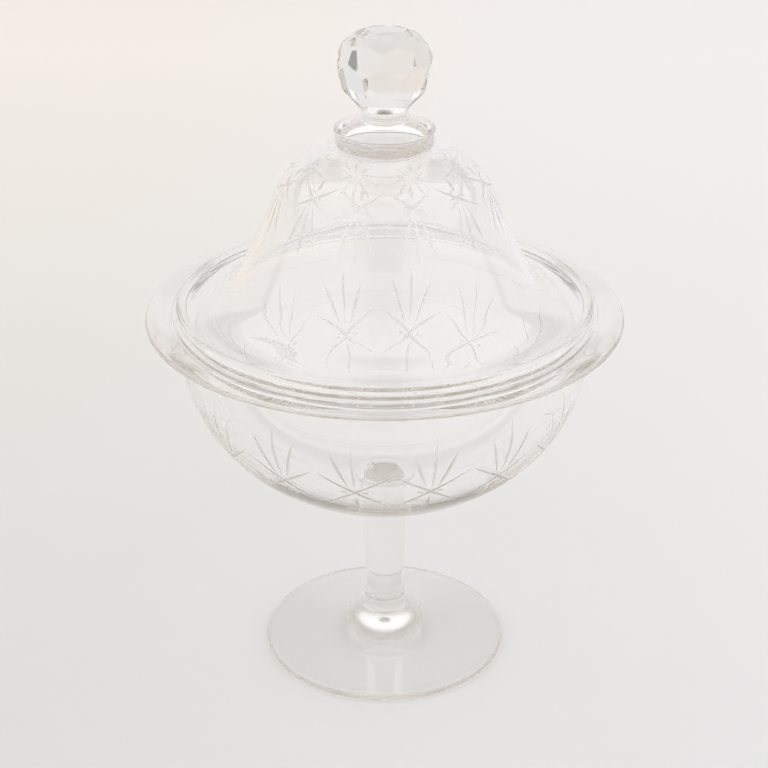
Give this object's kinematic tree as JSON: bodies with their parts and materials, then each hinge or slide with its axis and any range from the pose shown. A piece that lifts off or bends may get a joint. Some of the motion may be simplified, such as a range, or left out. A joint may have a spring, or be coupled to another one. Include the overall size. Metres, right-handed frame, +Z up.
{
  "type": "covered glass candy dish",
  "caption": "Stemmed glass bowl with a flared rim and a band of wheel-cut stars, and a bell-shaped lid with a faceted ball knob that lifts off.",
  "frame": {"origin": "centre of the foot's underside, on the surface that the dish stands on", "axes": "+Z up along the stem's axis; -Y towards the front star of the picture's view"},
  "size_m": [0.1976, 0.1976, 0.2777],
  "materials": {
    "blown_glass": "fire-polished clear glass",
    "solid_glass": "fire-polished clear glass, thick",
    "cut_glass": "blown clear glass with wheel-cut grooves",
    "faceted_glass": "cut and polished facets"
  },
  "bodies": {
    "dish": {"foot": "blown_glass", "stem_knop": "solid_glass", "stem": "solid_glass", "bowl_pad": "solid_glass", "bowl": "cut_glass"},
    "lid": {"lid_bell": "cut_glass", "collar_lower": "solid_glass", "collar_upper": "solid_glass", "knob_neck": "solid_glass", "knob": "faceted_glass"}
  },
  "joints": [
    {"name": "lid_lift", "type": "slide", "parent": "dish", "child": "lid", "axis": [0, 0, 1], "range_m": [0, 0.1]}
  ]
}
